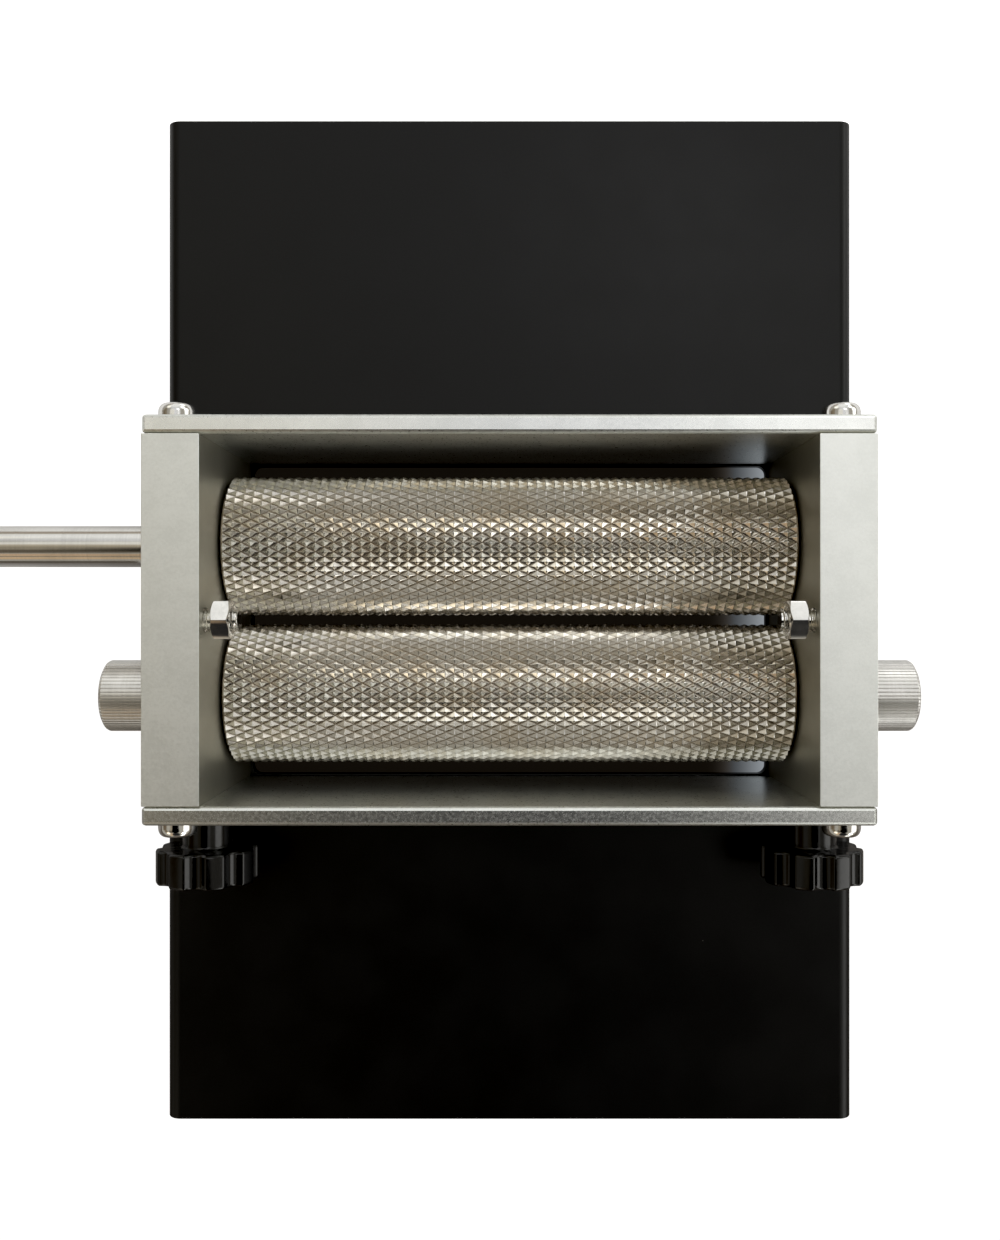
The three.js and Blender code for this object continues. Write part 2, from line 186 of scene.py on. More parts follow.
def cut(obj, tools):
    for tool in tools:
        modifier = obj.modifiers.new("cut", "BOOLEAN")
        modifier.operation, modifier.solver, modifier.object = "DIFFERENCE", "EXACT", tool
    applied(obj)
    for tool in tools:
        bpy.data.objects.remove(tool)
    return obj


def soften(obj, edge, rim, planes, steps=2):
    """Bevels the sharp edges that lie in the given planes: straight ones by edge, the rims of holes by rim."""
    shape = bmesh.new()
    shape.from_mesh(obj.data)
    bmesh.ops.dissolve_limit(shape, angle_limit=FLAT_TURN, verts=shape.verts, edges=shape.edges)
    weight = shape.edges.layers.float.new("bevel_weight_edge")
    widest = max(edge, rim)
    for e in shape.edges:
        if len(e.link_faces) != 2 or e.calc_face_angle() < math.radians(SHARP_TURN):
            continue
        for axis, level in planes:
            if all(abs(v.co[axis] - level) < IN_PLANE for v in e.verts):
                e[weight] = (edge if e.calc_length() > STRAIGHT_EDGE else rim) / widest
                break
    shape.to_mesh(obj.data)
    shape.free()
    modifier = obj.modifiers.new("edges", "BEVEL")
    modifier.limit_method, modifier.width, modifier.segments = "WEIGHT", widest, steps
    applied(obj)
    return obj


def box_planes(low, high):
    return [(axis, level[axis]) for axis in range(3) for level in (low, high)]


def box(name, low, high):
    outline = [(low.x, low.y), (high.x, low.y), (high.x, high.y), (low.x, high.y)]
    return prism(name, outline, Z, Vector((0, 0, low.z)), high.z - low.z)


def hexagon(flats, along, sides, corner=0.0):
    """A hexagon with a corner on +across, as a ring of points; corner rounds its corners."""
    ring = []
    for i in range(sides):
        angle = TAU * i / sides
        off = (angle + TAU / 12) % (TAU / 6) - TAU / 12
        reach = min(flats / 2 / math.cos(TAU / 12 - abs(off)), flats / math.sqrt(3) - corner)
        ring.append((reach * math.cos(angle), reach * math.sin(angle), along))
    return ring


def placed(obj, node, body, material, sharp=SHARP_TURN, flat=False):
    """Finishes a piece: scales it to metres, shades it, and puts it in the CAD node's stead."""
    obj.name = f"{node}_detailed"
    obj.data.name = obj.name
    obj.data.transform(Matrix.Scale(MM, 4))
    if flat:
        obj.data.shade_flat()
    else:
        obj.data.shade_smooth()
        obj.data.set_sharp_from_angle(angle=math.radians(sharp))
        modifier = obj.modifiers.new("normals", "WEIGHTED_NORMAL")
        modifier.keep_sharp, modifier.weight = True, 50
        applied(obj)
    obj.data.materials.clear()
    obj.data.materials.append(material)
    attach(obj, body)
    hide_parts(node)
    return obj


# ---- Materials ----


def node(tree, kind, inputs=None, **attributes):
    made = tree.nodes.new(kind)
    for key, value in attributes.items():
        setattr(made, key, value)
    for key, value in (inputs or {}).items():
        if isinstance(value, bpy.types.NodeSocket):
            tree.links.new(value, made.inputs[key])
        else:
            made.inputs[key].default_value = value
    return made


def calc(tree, operation, a, b=0.0):
    return node(tree, "ShaderNodeMath", {0: a, 1: b}, operation=operation).outputs[0]


def grade(tree, value, low, high, out_low=0.0, out_high=1.0, smooth=True):
    made = node(
        tree,
        "ShaderNodeMapRange",
        {"Value": value, "From Min": low, "From Max": high, "To Min": out_low, "To Max": out_high},
        interpolation_type="SMOOTHSTEP" if smooth else "LINEAR",
    )
    return made.outputs["Result"]


def blend_colour(tree, factor, a, b):
    made = node(tree, "ShaderNodeMix", data_type="RGBA")
    for index, value in ((0, factor), (6, a), (7, b)):
        if isinstance(value, bpy.types.NodeSocket):
            tree.links.new(value, made.inputs[index])
        else:
            made.inputs[index].default_value = (*value, 1) if index else value
    return made.outputs[2]


def place_of(tree, scale=(1, 1, 1)):
    """The piece's own coordinates, stretched."""
    source = node(tree, "ShaderNodeTexCoord").outputs["Object"]
    return node(tree, "ShaderNodeMapping", {"Vector": source, "Scale": scale}).outputs["Vector"]


def noise(tree, scale, detail=3.0, roughness=0.55, stretch=(1, 1, 1)):
    return node(
        tree,
        "ShaderNodeTexNoise",
        {"Vector": place_of(tree, stretch), "Scale": scale, "Detail": detail, "Roughness": roughness},
    ).outputs["Fac"]


def specks(tree, scale, size):
    """Small round spots, 1 inside and 0 outside, in random cells."""
    cells = node(tree, "ShaderNodeTexVoronoi", {"Vector": place_of(tree), "Scale": scale, "Randomness": 1.0})
    return grade(tree, cells.outputs["Distance"], size, size * 0.55), cells.outputs["Color"]


def new_material(name, metallic, **constants):
    material = bpy.data.materials.new(name)
    material.use_nodes = True
    tree = material.node_tree
    shader = tree.nodes["Principled BSDF"]
    shader.inputs["Metallic"].default_value = metallic
    for key, value in constants.items():
        shader.inputs[key.replace("_", " ")].default_value = value
    return material, tree, shader


def bump(tree, shader, layers):
    """Adds layers of (height socket, depth in metres) to the shader's normal."""
    normal = None
    for height, depth in layers:
        inputs = {"Height": height, "Distance": depth, "Strength": 1.0}
        if normal is not None:
            inputs["Normal"] = normal
        normal = node(tree, "ShaderNodeBump", inputs).outputs["Normal"]
    tree.links.new(normal, shader.inputs["Normal"])


def facing(tree, axis):
    """1 on the faces that are square to an axis, 0 on the others."""
    normal = node(tree, "ShaderNodeSeparateXYZ", {0: node(tree, "ShaderNodeNewGeometry").outputs["Normal"]})
    return grade(tree, calc(tree, "ABSOLUTE", normal.outputs[axis]), 0.8, 0.95)


def blasted_aluminium(name, light, dark, edge_rough, face_rough, painted_face_shade, grain_depth, sparkle):
    """Anodised over a fine blasted grain, with faint clouds and small bright grains. The tops and feet of the
    plates have the light colour and edge_rough; their upright faces have face_rough, and their colour is
    multiplied by a darker, warmer tint as painted shade."""
    material, tree, shader = new_material(name, 1.0)
    clouds = noise(tree, 170, 4, 0.6)
    grain = noise(tree, 1500, 3, 0.65)
    tone = calc(tree, "ADD", calc(tree, "MULTIPLY", clouds, 0.5), calc(tree, "MULTIPLY", grain, 0.5))
    colour = blend_colour(tree, grade(tree, tone, 0.38, 0.62), dark, light)
    spots, tint = specks(tree, 330, 0.22)
    chosen = grade(tree, node(tree, "ShaderNodeSeparateColor", {0: tint}).outputs[0], 0.80, 0.86)
    bright = calc(tree, "MULTIPLY", spots, chosen)
    colour = blend_colour(tree, calc(tree, "MULTIPLY", bright, sparkle), colour, (0.93, 0.94, 0.93))
    level = facing(tree, "Z")
    # Painted shade: the upright faces take a darker, warmer copy of the colour.
    face_shaded_colour = node(tree, "ShaderNodeVectorMath", {0: colour, 1: painted_face_shade}, operation="MULTIPLY").outputs[0]
    tree.links.new(blend_colour(tree, level, face_shaded_colour, colour), shader.inputs["Base Color"])
    rough = node(tree, "ShaderNodeMix", {"Factor": level, "A": face_rough, "B": edge_rough}).outputs["Result"]
    rough = calc(tree, "ADD", rough, grade(tree, grain, 0.3, 0.7, -0.04, 0.04))
    tree.links.new(rough, shader.inputs["Roughness"])
    bump(tree, shader, [(noise(tree, 2600, 2, 0.6), grain_depth), (clouds, 2.5 * grain_depth)])
    return material


def knurled_steel(name, axis, crest, depth):
    """Cut steel: darker and browner toward the groove bottoms and lighter toward the crests, with a grainy edge
    between them and patches of brown oil film.
    """
    material, tree, shader = new_material(name, 1.0)
    place = node(tree, "ShaderNodeSeparateXYZ", {0: node(tree, "ShaderNodeTexCoord").outputs["Object"]})
    y = calc(tree, "SUBTRACT", place.outputs["Y"], axis.y * MM)
    z = calc(tree, "SUBTRACT", place.outputs["Z"], axis.z * MM)
    squares = calc(tree, "ADD", calc(tree, "MULTIPLY", y, y), calc(tree, "MULTIPLY", z, z))
    radius = calc(tree, "SQRT", squares)
    height = grade(tree, radius, (crest - depth) * MM, (crest - 0.15 * depth) * MM, smooth=False)
    film = noise(tree, 95, 4, 0.6)
    grit = noise(tree, 1300, 3, 0.6)
    level = calc(tree, "ADD", height, calc(tree, "MULTIPLY", calc(tree, "SUBTRACT", grit, 0.5), 0.35))
    colour = blend_colour(tree, grade(tree, level, 0.0, 0.24), (0.33, 0.28, 0.22), (0.67, 0.645, 0.60))
    colour = blend_colour(tree, grade(tree, film, 0.42, 0.66, 0.0, 0.35), colour, (0.50, 0.42, 0.31))
    tree.links.new(colour, shader.inputs["Base Color"])
    rough = calc(tree, "ADD", grade(tree, level, 0.0, 0.8, 0.26, 0.10), calc(tree, "MULTIPLY", film, 0.05))
    tree.links.new(rough, shader.inputs["Roughness"])
    bump(tree, shader, [(noise(tree, 1, 2, 0.5, (300, 3000, 3000)), 0.00001), (grit, 0.000012)])
    return material


def bright_steel(name, light, dark, rough_low, rough_high, lines=(3600, 60, 60), depth=0.0000025):
    """Ground or turned metal with fine lines round its axis."""
    material, tree, shader = new_material(name, 1.0)
    tool = noise(tree, 1, 3, 0.6, lines)
    stain = noise(tree, 120, 4, 0.6)
    tone = calc(tree, "ADD", calc(tree, "MULTIPLY", tool, 0.4), calc(tree, "MULTIPLY", stain, 0.6))
    colour = blend_colour(tree, grade(tree, tone, 0.35, 0.65), dark, light)
    tree.links.new(colour, shader.inputs["Base Color"])
    tree.links.new(grade(tree, tone, 0.3, 0.7, rough_high, rough_low), shader.inputs["Roughness"])
    bump(tree, shader, [(tool, depth)])
    return material


def black_paint(name):
    """Semi-gloss powder coat: a slight orange peel, a few pale dust specks and lint."""
    material, tree, shader = new_material(name, 0.0, Specular_IOR_Level=0.27)
    peel = noise(tree, 620, 2, 0.5)
    fine = noise(tree, 2400, 2, 0.6)
    spots, tint = specks(tree, 110, 0.014)
    chosen = grade(tree, node(tree, "ShaderNodeSeparateColor", {0: tint}).outputs[0], 0.55, 0.6)
    dust = calc(tree, "MULTIPLY", spots, chosen)
    deep, pale = (0.0020, 0.0020, 0.0022), (0.0040, 0.0040, 0.0043)
    colour = blend_colour(tree, grade(tree, fine, 0.3, 0.75), deep, pale)
    tree.links.new(blend_colour(tree, dust, colour, (0.22, 0.21, 0.19)), shader.inputs["Base Color"])
    gloss = grade(tree, noise(tree, 60, 4, 0.6), 0.3, 0.7, 0.32, 0.36)
    rough = calc(tree, "ADD", gloss, calc(tree, "MULTIPLY", dust, 0.4))
    tree.links.new(rough, shader.inputs["Roughness"])
    bump(tree, shader, [(peel, 0.000008), (fine, 0.000002)])
    return material


def black_plastic(name):
    """Glossy moulded plastic with faint flow marks and handling scuffs."""
    material, tree, shader = new_material(name, 0.0, Specular_IOR_Level=0.42)
    flow = noise(tree, 220, 3, 0.5)
    scuff = noise(tree, 900, 3, 0.7, (1, 1, 0.3))
    deep, pale = (0.0016, 0.0016, 0.0018), (0.0032, 0.0032, 0.0036)
    colour = blend_colour(tree, grade(tree, flow, 0.3, 0.7), deep, pale)
    tree.links.new(colour, shader.inputs["Base Color"])
    tree.links.new(grade(tree, scuff, 0.35, 0.75, 0.10, 0.22), shader.inputs["Roughness"])
    bump(tree, shader, [(flow, 0.00001), (scuff, 0.000002)])
    return material


def sintered_bronze(name):
    material, tree, shader = new_material(name, 1.0)
    pores, _ = specks(tree, 2200, 0.3)
    cloud = noise(tree, 400, 3, 0.6)
    colour = blend_colour(tree, grade(tree, cloud, 0.3, 0.7), (0.52, 0.34, 0.16), (0.70, 0.48, 0.25))
    colour = blend_colour(tree, calc(tree, "MULTIPLY", pores, 0.7), colour, (0.10, 0.06, 0.03))
    tree.links.new(colour, shader.inputs["Base Color"])
    tree.links.new(grade(tree, cloud, 0.3, 0.7, 0.45, 0.32), shader.inputs["Roughness"])
    bump(tree, shader, [(calc(tree, "MULTIPLY", pores, -1.0), 0.00002)])
    return material


SIDE_METAL = blasted_aluminium(
    "anodised side plates",
    light=(0.94, 0.96, 0.94),
    dark=(0.87, 0.89, 0.87),
    edge_rough=0.42,
    face_rough=0.46,
    painted_face_shade=(0.58, 0.555, 0.49),
    grain_depth=0.000012,
    sparkle=0.5,
)
COVER_METAL = blasted_aluminium(
    "anodised covers",
    light=(0.86, 0.87, 0.86),
    dark=(0.76, 0.77, 0.76),
    edge_rough=0.25,
    face_rough=0.31,
    painted_face_shade=(0.95, 0.96, 0.94),
    grain_depth=0.000001,
    sparkle=0.1,
)
SHAFT_METAL = bright_steel(
    "ground shaft steel", light=(0.74, 0.73, 0.71), dark=(0.66, 0.65, 0.63), rough_low=0.10, rough_high=0.16
)
KNOB_METAL = bright_steel(
    "turned aluminium",
    light=(0.82, 0.81, 0.79),
    dark=(0.73, 0.72, 0.70),
    rough_low=0.27,
    rough_high=0.35,
    lines=(1400, 200, 200),
)
PLATED = bright_steel(
    "plated steel",
    light=(0.84, 0.83, 0.81),
    dark=(0.74, 0.73, 0.71),
    rough_low=0.06,
    rough_high=0.14,
    lines=(900, 900, 900),
    depth=0.0000012,
)
PAINT = black_paint("black powder coat")
PLASTIC = black_plastic("black plastic")
BRONZE = sintered_bronze("sintered bronze")

# ---- Base ----

SHEET = 2.5
BEND_OUTSIDE = 3.5
BEND_STEPS = 10
OPENING_MARGIN = 0.5  # how far the opening's edges stand off the frame's inner faces
OPENING_CORNER = 2
PASS = 2.3  # radius of a screw's clearance hole
EDGE = 0.3  # bevel on the edges of the base and the side plates


def arc(centre, radius, start, end, steps):
    return [
        (
            centre[0] + radius * math.cos(start + (end - start) * i / steps),
            centre[1] + radius * math.sin(start + (end - start) * i / steps),
        )
        for i in range(steps + 1)
    ]


def base_plate():
    half, height = (BASE_HIGH.x - BASE_LOW.x) / 2, BASE_HIGH.z
    quarter = math.pi / 2
    bend_x, bend_z = half - BEND_OUTSIDE, height - BEND_OUTSIDE
    section = [(half, 0)]
    section += arc((bend_x, bend_z), BEND_OUTSIDE, 0, quarter, BEND_STEPS)
    section += arc((-bend_x, bend_z), BEND_OUTSIDE, quarter, 2 * quarter, BEND_STEPS)
    section += [(-half, 0), (SHEET - half, 0)]
    section += arc((-bend_x, bend_z), BEND_OUTSIDE - SHEET, 2 * quarter, quarter, BEND_STEPS)
    section += arc((bend_x, bend_z), BEND_OUTSIDE - SHEET, quarter, 0, BEND_STEPS)
    section += [(half - SHEET, 0)]
    points = [Vector((CENTRE_X + x, y, z)) for y in (BASE_LOW.y, BASE_HIGH.y) for x, z in section]
    count = len(section)
    faces = [tuple(range(count)), tuple(range(count, 2 * count))]
    faces += [(i, (i + 1) % count, (i + 1) % count + count, i + count) for i in range(count)]
    plate = solid("base", points, faces)
    low = Vector((PLATE["left"][1].x + OPENING_MARGIN, COVER["front"][1].y + OPENING_MARGIN, 0))
    high = Vector((PLATE["right"][0].x - OPENING_MARGIN, COVER["rear"][0].y - OPENING_MARGIN, 0))
    outline = []
    for i, (cx, cy) in enumerate(((high.x, high.y), (low.x, high.y), (low.x, low.y), (high.x, low.y))):
        across = -OPENING_CORNER if cx > CENTRE_X else OPENING_CORNER
        back = -OPENING_CORNER if cy > 0 else OPENING_CORNER
        outline += arc((cx + across, cy + back), OPENING_CORNER, i * quarter, (i + 1) * quarter, 8)
    tools = [prism("tool", outline, Z, Vector((0, 0, height - 2 * SHEET)), 3 * SHEET)]
    for side in SIDES:
        for end in ENDS:
            place = middle(f"base_screw_{end}_{side}")
            tools.append(rod(PASS, 3 * SHEET, Z, Vector((place.x, place.y, height - 2 * SHEET)), 32))
    cut(plate, tools)
    planes = box_planes(BASE_LOW, BASE_HIGH) + [(2, height - SHEET)]
    planes += [(0, CENTRE_X - half + SHEET), (0, CENTRE_X + half - SHEET)]
    return soften(plate, EDGE, EDGE, planes)


placed(base_plate(), "base_plate", "frame", PAINT)

# ---- Frame plates ----

SEAT = 2.05  # radius of a screw's tapped hole
COVER_SEAT_DEPTH, BASE_SEAT_DEPTH = 14, 9  # of a tool that starts 1 outside the plate
STUD_HOLE = 2.55  # radius of a hole for an M5 stud
HOPPER_HOLE_DEPTH = 9.5
DRIVE_HOLE, ADJUSTER_HOLE = 6.4, 8.0  # radii of the side plates' bores
CLAMP_PASS = 2.8  # radius of the clamp stud's hole in the front cover
PLATE_RIM = 0.22  # bevel on the rims of the side plates' holes
COVER_EDGE, COVER_RIM = 0.55, 0.25  # chamfers of the covers' edges and holes


def side_plate(name, side):
    low, high = PLATE[name]
    centre = (low + high) / 2
    inner = low.x if side == RIGHT else high.x
    plate = box("plate", low, high)
    through = high.x - low.x + 2
    hopper_z = middle(f"{name}_hopper_stud").z
    tools = [
        rod(DRIVE_HOLE, through, X, Vector((low.x - 1, DRIVE.y, DRIVE.z)), 72),
        rod(ADJUSTER_HOLE, through, X, Vector((low.x - 1, ADJUSTER.y, ADJUSTER.z)), 72),
        rod(STUD_HOLE, HOPPER_HOLE_DEPTH, side * X, Vector((inner - side, 0, hopper_z)), 40),
        rod(STUD_HOLE, ADJUSTER.y - low.y + 1, Y, Vector((centre.x, low.y - 1, ADJUSTER.z)), 40),
    ]
    for end_name, end in ENDS.items():
        face = low.y if end == FRONT else high.y
        for level in ("upper", "lower"):
            z = middle(f"cover_screw_{end_name}_{name}_{level}").z
            tools.append(rod(SEAT, COVER_SEAT_DEPTH, -end * Y, Vector((centre.x, face + end, z)), 32))
        y = middle(f"base_screw_{end_name}_{name}").y
        tools.append(rod(SEAT, BASE_SEAT_DEPTH, Z, Vector((centre.x, y, low.z - 1)), 32))
    cut(plate, tools)
    return soften(plate, EDGE, PLATE_RIM, box_planes(low, high))


def cover_plate(name, end):
    """The edges are chamfered before the holes are cut, because the holes would hold the chamfer back."""
    low, high = COVER[name]
    planes = box_planes(low, high)
    through = high.y - low.y + 4
    plate = soften(box("plate", low, high), COVER_EDGE, COVER_EDGE, planes, 1)
    tools = []
    for side in SIDES:
        for level in ("upper", "lower"):
            place = middle(f"cover_screw_{name}_{side}_{level}")
            tools.append(rod(PASS, through, Y, Vector((place.x, low.y - 2, place.z)), 40))
        if end == FRONT:
            place = middle(f"{side}_clamp_stud")
            tools.append(rod(CLAMP_PASS, through, Y, Vector((place.x, low.y - 2, place.z)), 40))
    cut(plate, tools)
    return soften(plate, 0.0, COVER_RIM, planes, 1)


for name, side in SIDES.items():
    placed(side_plate(name, side), f"{name}_side_plate", "frame", SIDE_METAL)
for name, end in ENDS.items():
    placed(cover_plate(name, end), f"{name}_cover", "frame", COVER_METAL)

# ---- Rollers ----

ROLLER_RADIUS = 16.1  # over the crests
KNURL_DEPTH = 0.9
KNURL_COLUMNS = 62  # half-steps of the pattern along the roller
KNURL_STARTS = 46  # diamonds round the roller
KNURL_LAND = 0.65  # the plain end of the roller
CREST = 0.14  # a crest's size as a share of its diamond
RIDGE = 0.05  # half the width of an eased ridge, as a share of the diamond
CREST_WEAR = 0.05  # how far a crest may be worn down
CREST_SHIFT = 0.03  # how far a crest may be off its place, as a share of the diamond
BORE_CHAMFER = 0.55


def knurled_roller(node_name, bore, seed):
    """Four-sided teeth in a diamond lattice, each with a small flat crest and eased ridges."""
    low, high = extent(node_name)
    axis = (low + high) / 2
    crest = (high.z - low.z) / 2
    valley = crest - KNURL_DEPTH
    start, length = low.x + KNURL_LAND, high.x - low.x - 2 * KNURL_LAND
    step = length / KNURL_COLUMNS
    around = 2 * KNURL_STARTS
    chance = random.Random(seed)
    points, faces, corners = [], [], {}

    def point(column, row, radius):
        angle = TAU * row / around
        y, z = axis.y + radius * math.cos(angle), axis.z + radius * math.sin(angle)
        points.append((start + column * step, y, z))
        return len(points) - 1

    def corner(column, row):
        key = (column, row % around)
        if key not in corners:
            corners[key] = point(column, row, valley)
        return corners[key]

    reach = CREST - RIDGE
    for column in range(KNURL_COLUMNS + 1):
        for row in range(column % 2, around, 2):
            height = crest - KNURL_DEPTH * CREST - chance.uniform(0, CREST_WEAR)
            dx, dr = (chance.uniform(-CREST_SHIFT, CREST_SHIFT) for _ in range(2))
            first, last = column == 0, column == KNURL_COLUMNS
            ways = [(1, 0), (0, 1), (-1, 0), (0, -1)]
            tips = {}
            for i, (wx, wr) in enumerate(ways):
                if (first and wx < 0) or (last and wx > 0):
                    continue
                pair = []
                for sign in (-1, 1):
                    ox = wx * reach - sign * wr * RIDGE
                    orow = wr * reach + sign * wx * RIDGE
                    if (first and ox < 0) or (last and ox > 0):
                        ox = 0
                    shift = 0 if (first or last) else dx
                    pair.append(point(column + ox + shift, row + orow + dr, height))
                tips[i] = pair
            for i in tips:
                wx, wr = ways[i]
                here = corner(column + wx, row + wr)
                faces.append((here, tips[i][1], tips[i][0]))
                after = (i + 1) % 4
                if after in tips:
                    nx, nr = ways[after]
                    faces.append((here, corner(column + nx, row + nr), tips[after][0], tips[i][1]))
            ring = [p for i in sorted(tips) for p in tips[i]]
            if first:
                ring = [*tips[3], *tips[0], *tips[1]]
                faces.append((corner(0, row - 1), tips[3][0], tips[1][1], corner(0, row + 1)))
            if last:
                ring = [*tips[1], *tips[2], *tips[3]]
                faces.append((corner(column, row + 1), tips[1][0], tips[3][1], corner(column, row - 1)))
            faces.append(tuple(ring))

    # The plain ends, the end faces and the bore.
    count = KNURL_STARTS
    rings = []
    for end, column in ((-1, 0), (1, KNURL_COLUMNS)):
        rows = [row for row in range(around) if (row + column) % 2 == 1]
        face_x = low.x if end < 0 else high.x
        offsets = [
            (KNURL_LAND * 0.45, valley),
            (0.0, valley - 0.35),
            (0.0, valley - 0.6),
            (0.0, bore + BORE_CHAMFER),
            (0.35, bore),
        ]
        group = [[corner(column, row) for row in rows]]
        for set_in, radius in offsets:
            ring_here = []
            for row in rows:
                angle = TAU * row / around
                y, z = axis.y + radius * math.cos(angle), axis.z + radius * math.sin(angle)
                points.append((face_x - end * set_in, y, z))
                ring_here.append(len(points) - 1)
            group.append(ring_here)
        rings.append(group)
    for group in rings:
        for a, b in zip(group, group[1:]):
            for i in range(count):
                j = (i + 1) % count
                faces.append((a[i], a[j], b[j], b[i]))
    a, b = rings[0][-1], rings[1][-1]
    for i in range(count):
        j = (i + 1) % count
        faces.append((a[i], a[j], b[j], b[i]))
    return solid("roller", points, faces)


# Each roller's axis, the radius of its bore, and the seed of its wear.
for name, axis, bore, seed in (("drive_roller", DRIVE, 4.8, 3), ("adjustable_roller", IDLE, 4.05, 8)):
    steel = knurled_steel(f"knurled steel, {name.replace('_', ' ')}", axis, ROLLER_RADIUS, KNURL_DEPTH)
    placed(knurled_roller(name, bore, seed), name, name, steel, flat=True)

# ---- Shaft, axle and bushings ----


SHAFT_RADIUS = 4.7625
SHAFT_CHAMFER, SHAFT_INNER_CHAMFER = 0.8, 0.5
FLAT_LENGTH, FLAT_DEPTH = 18, 0.7  # the three flats at the shaft's end
TOOL_REACH = 10  # of the tool that cuts a flat, to both sides
AXLE_RADIUS, AXLE_CHAMFER = 4, 0.6
TURNED_EASE = 0.2  # how far the corners of turned pieces are rounded
BUSHING_CHAMFER, BUSHING_BORE_CHAMFER = 0.3, 0.4


def drive_shaft():
    low, high = extent("drive_shaft")
    radius = SHAFT_RADIUS
    start = Vector((low.x, DRIVE.y, DRIVE.z))
    length = high.x - low.x
    profile = [(0, radius - SHAFT_CHAMFER), (SHAFT_CHAMFER, radius)]
    profile += [(length - SHAFT_INNER_CHAMFER, radius), (length, radius - SHAFT_INNER_CHAMFER)]
    shaft = turned("shaft", eased(profile, TURNED_EASE, 2), X, start, 96)
    tools = []
    for i in range(3):
        turn = Matrix.Translation(start) @ Matrix.Rotation(i * TAU / 3, 4, "X")
        low_corner = Vector((-FLAT_LENGTH, -TOOL_REACH, radius - FLAT_DEPTH))
        flat = box("tool", low_corner, Vector((FLAT_LENGTH, TOOL_REACH, radius + 6)))
        flat.data.transform(turn)
        tools.append(flat)
    return cut(shaft, tools)


def axle():
    low, high = extent("adjustable_axle")
    length, radius, chamfer = high.x - low.x, AXLE_RADIUS, AXLE_CHAMFER
    profile = [(0, radius - chamfer), (chamfer, radius), (length - chamfer, radius), (length, radius - chamfer)]
    return turned("axle", eased(profile, TURNED_EASE, 2), X, Vector((low.x, IDLE.y, IDLE.z)), 64)


def bushing(node_name, centre, outer, inner):
    low, high = extent(node_name)
    length = high.x - low.x
    rim, bore = BUSHING_CHAMFER, BUSHING_BORE_CHAMFER
    wall = [(0, inner + bore), (0, outer - rim), (rim, outer), (length - rim, outer), (length, outer - rim)]
    wall += [(length, inner + bore), (length - bore, inner), (bore, inner)]
    return turned("bushing", wall, X, Vector((low.x, centre.y, centre.z)), 64, hollow=True)


placed(drive_shaft(), "drive_shaft", "drive_roller", SHAFT_METAL)
placed(axle(), "adjustable_axle", "adjustable_roller", SHAFT_METAL)
for name in SIDES:
    # Each bushing's axis, outer and inner radius, and the body that holds it.
    for kind, axis, outer, inner, body in (
        ("drive_bushing", DRIVE, 6.35, 4.8225, "frame"),
        ("adjuster_bushing", IDLE, 5.0, 4.06, f"{name}_adjuster"),
    ):
        node_name = f"{name}_{kind}"
        placed(bushing(node_name, axis, outer, inner), node_name, body, BRONZE)

# ---- Eccentric adjusters ----

FLUTES = 60
FLUTE_DEPTH = 0.26
FLUTE_POINTS = (0.0, 0.07, 1.0, 0.07)  # the depths of a flute's four points, as shares of its depth
CREST_SPREAD = 0.3  # how far a crest's edges move toward the flute, as a share of the step between points
BARREL_RADIUS, END_RADIUS = 7.94, 8.2
END_GAP = 0.3  # between the side plate and the knurled end
GROOVE_HALF, GROOVE_DEPTH = 2.6, 0.5  # the clamp stud's groove
AXLE_HOLE, AXLE_HOLE_DEPTH = 5.05, 13.0


def adjuster(name, side):
    """The barrel with its clamp groove, and the straight-knurled end."""
    low, high = extent(f"{name}_adjuster")
    barrel, knob = BARREL_RADIUS, END_RADIUS
    start = low.x if side == RIGHT else high.x
    outer_face = PLATE[name][1].x if side == RIGHT else PLATE[name][0].x
    shoulder = abs(start - outer_face) + END_GAP
    end = high.x - low.x
    middle_x = abs((PLATE[name][0].x + PLATE[name][1].x) / 2 - start)
    per_flute = len(FLUTE_POINTS)
    sides = FLUTES * per_flute

    def ring(along, radius, fluted=0.0):
        made = []
        for i in range(sides):
            part = i % per_flute
            here = radius - fluted * FLUTE_POINTS[part]
            angle = TAU * (i + (0.0, CREST_SPREAD, 0.0, -CREST_SPREAD)[part]) / sides
            made.append((here * math.cos(angle), here * math.sin(angle), along))
        return made

    rings = [
        ring(0, barrel - 0.3),
        ring(0.3, barrel),
        ring(middle_x - GROOVE_HALF, barrel),
        ring(middle_x - GROOVE_HALF + GROOVE_DEPTH, barrel - GROOVE_DEPTH),
        ring(middle_x + GROOVE_HALF - GROOVE_DEPTH, barrel - GROOVE_DEPTH),
        ring(middle_x + GROOVE_HALF, barrel),
        ring(shoulder - 0.1, barrel),
        ring(shoulder, barrel),
        ring(shoulder, knob - FLUTE_DEPTH),
        ring(shoulder + 0.45, knob, FLUTE_DEPTH),
        ring(end - 0.85, knob, FLUTE_DEPTH),
        ring(end - 0.4, knob - FLUTE_DEPTH),
        ring(end - 0.08, knob - 0.8),
        ring(end, knob - 0.95),
        ring(end, knob - 3.2),
    ]
    body = loft("adjuster", rings, side * X, Vector((start, ADJUSTER.y, ADJUSTER.z)))
    hole = rod(AXLE_HOLE, AXLE_HOLE_DEPTH, side * X, Vector((start - side, IDLE.y, IDLE.z)), 72)
    return cut(body, [hole])


for name, side in SIDES.items():
    node_name = f"{name}_adjuster"
    placed(adjuster(name, side), node_name, node_name, KNOB_METAL, sharp=28)

# ---- Clamp screws with star knobs ----

LOBES = 8
HOLLOW_CENTRE, HOLLOW_RADIUS = 12.6, 2.6  # of the hollows between the lobes
LOBE_FILLET = 0.85
HEAD_LENGTH = 8
HEAD_EDGE, HEAD_EDGE_STEPS = 0.75, 4  # the rounding of the head's edges
HUB_RADIUS = 5.6
STUD_POCKET = 2.55  # radius of the pocket round the moulded-in stud


